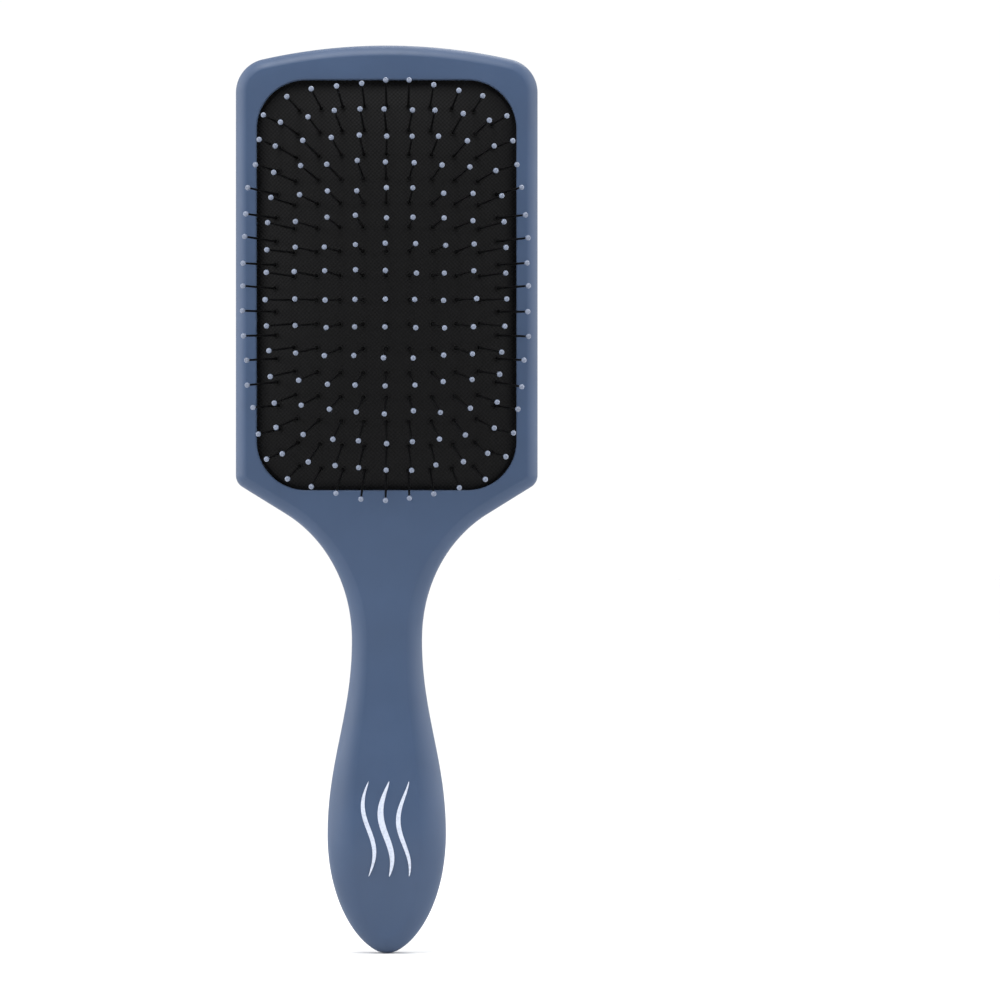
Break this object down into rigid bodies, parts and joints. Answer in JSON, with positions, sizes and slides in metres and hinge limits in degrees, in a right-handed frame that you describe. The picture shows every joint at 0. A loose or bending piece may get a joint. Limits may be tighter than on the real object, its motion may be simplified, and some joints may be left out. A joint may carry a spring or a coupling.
{
  "type": "vented cushion paddle brush",
  "caption": "Detangling hair brush: a flat rectangular paddle with a sprung rubber cushion of ball-tipped bristles, a vented back and a contoured handle.",
  "frame": {"origin": "under the butt of the handle, midway across the width and midway between the bristle tips and the back", "axes": "+Z along the handle from the butt to the top of the head, +Y out of the vented back, the bristles face -Y, +X across the width"},
  "size_m": [0.0886, 0.039, 0.267],
  "materials": {
    "paddle_plastic": "soft-touch satin",
    "cushion_rubber": "matte, finely embossed",
    "retainer_plastic": "as moulded",
    "bristle_nylon": "smooth",
    "ball_tips": "smooth rounded beads",
    "handle_print": "thin pad print"
  },
  "bodies": {
    "paddle": {"front_shell": "paddle_plastic", "back_shell": "paddle_plastic", "cushion": "cushion_rubber", "cushion_retainer": "retainer_plastic"},
    "centre_bristles": {"bristle_row_05": "bristle_nylon", "bristle_row_06": "bristle_nylon", "bristle_row_07": "bristle_nylon", "bristle_row_08": "bristle_nylon", "bristle_row_09": "bristle_nylon", "bristle_row_10": "bristle_nylon", "bristle_row_11": "bristle_nylon", "bristle_row_12": "bristle_nylon"},
    "upper_bristles": {"bristle_row_01": "bristle_nylon", "bristle_row_02": "bristle_nylon", "bristle_row_03": "bristle_nylon", "bristle_row_04": "bristle_nylon"},
    "lower_bristles": {"bristle_row_13": "bristle_nylon", "bristle_row_14": "bristle_nylon", "bristle_row_15": "bristle_nylon", "bristle_row_16": "bristle_nylon"},
    "side_bristles": {"bristle_side_left": "bristle_nylon", "bristle_side_right": "bristle_nylon"}
  },
  "joints": [
    {"name": "cushion_press", "type": "slide", "parent": "paddle", "child": "centre_bristles", "axis": [0, 1, 0], "range_m": [0, 0.004], "stiffness_N_per_m": 500, "deforming": ["cushion"]},
    {"name": "upper_press", "type": "slide", "parent": "paddle", "child": "upper_bristles", "axis": [0, 1, 0], "range_m": [0, 0.0022], "stiffness_N_per_m": 150},
    {"name": "lower_press", "type": "slide", "parent": "paddle", "child": "lower_bristles", "axis": [0, 1, 0], "range_m": [0, 0.0022], "stiffness_N_per_m": 150},
    {"name": "side_press", "type": "slide", "parent": "paddle", "child": "side_bristles", "axis": [0, 1, 0], "range_m": [0, 0.0012], "stiffness_N_per_m": 150}
  ],
  "couplings": [
    {"joint": "upper_press", "follows": "cushion_press", "ratio": 0.55},
    {"joint": "lower_press", "follows": "cushion_press", "ratio": 0.55},
    {"joint": "side_press", "follows": "cushion_press", "ratio": 0.3}
  ]
}
